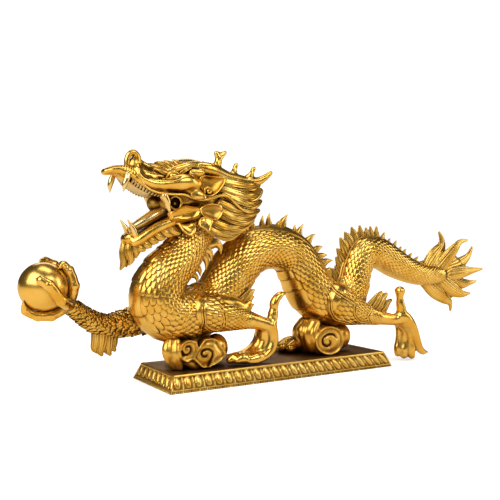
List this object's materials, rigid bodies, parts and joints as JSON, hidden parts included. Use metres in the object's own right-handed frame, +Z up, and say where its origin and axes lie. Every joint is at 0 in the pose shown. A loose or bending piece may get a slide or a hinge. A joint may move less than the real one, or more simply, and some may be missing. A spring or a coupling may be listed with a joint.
{
  "type": "dragon sculpture",
  "caption": "Cast brass dragon striding over scroll clouds on a low petal-bordered plinth, one foreclaw raised and holding a pearl.",
  "frame": {"origin": "middle of the plinth's flat underside", "axes": "+X from the dragon's head to its tail along the plinth, -Y the side the picture is taken from, +Z up"},
  "size_m": [0.3878, 0.0625, 0.1532],
  "materials": {
    "dragon_brass": "polished on the high points, dark brown patina in the recesses",
    "pearl_brass": "smooth polished",
    "plinth_brass": "antiqued, worn bright on the border"
  },
  "bodies": {
    "root": {"dragon": "dragon_brass", "pearl": "pearl_brass", "plinth": "plinth_brass"}
  },
  "joints": []
}
